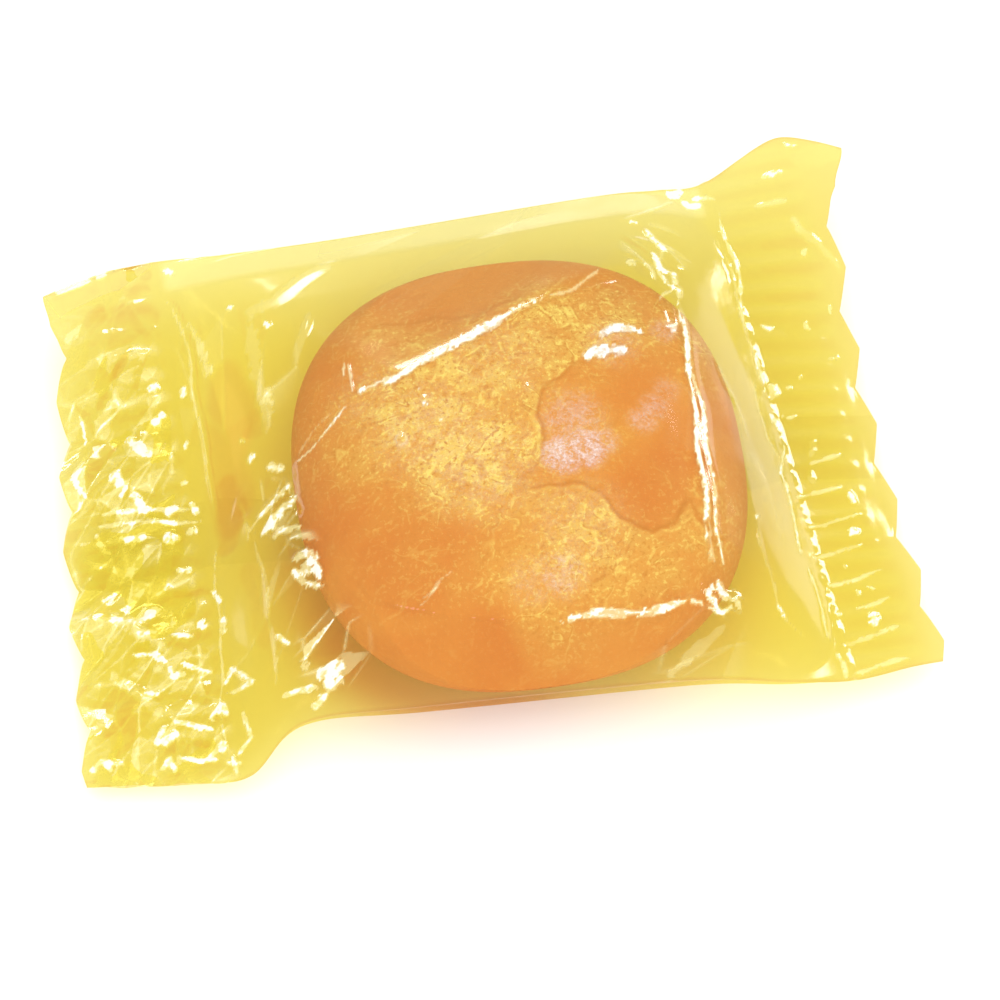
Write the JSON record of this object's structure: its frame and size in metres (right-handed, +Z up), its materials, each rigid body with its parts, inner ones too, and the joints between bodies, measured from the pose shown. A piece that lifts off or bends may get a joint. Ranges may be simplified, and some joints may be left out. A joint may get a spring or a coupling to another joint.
{
  "type": "wrapped butterscotch candy",
  "caption": "Rounded square butterscotch hard candy sealed in a clear yellow film pillow wrapper with crimped, zigzag-cut ends.",
  "frame": {"origin": "on the resting surface, under the middle of the wrapper's bounding box", "axes": "+X along the film tube, from the crushed crimped end to the flat one; +Y across the tube, away from the viewer; +Z up out of the resting surface"},
  "size_m": [0.0472, 0.0328, 0.0093],
  "materials": {
    "film": "clear glossy film, tinted yellow",
    "candy": "glossy cloudy boiled sugar"
  },
  "bodies": {
    "root": {"sealed_wrapper": "film"}
  },
  "joints": []
}
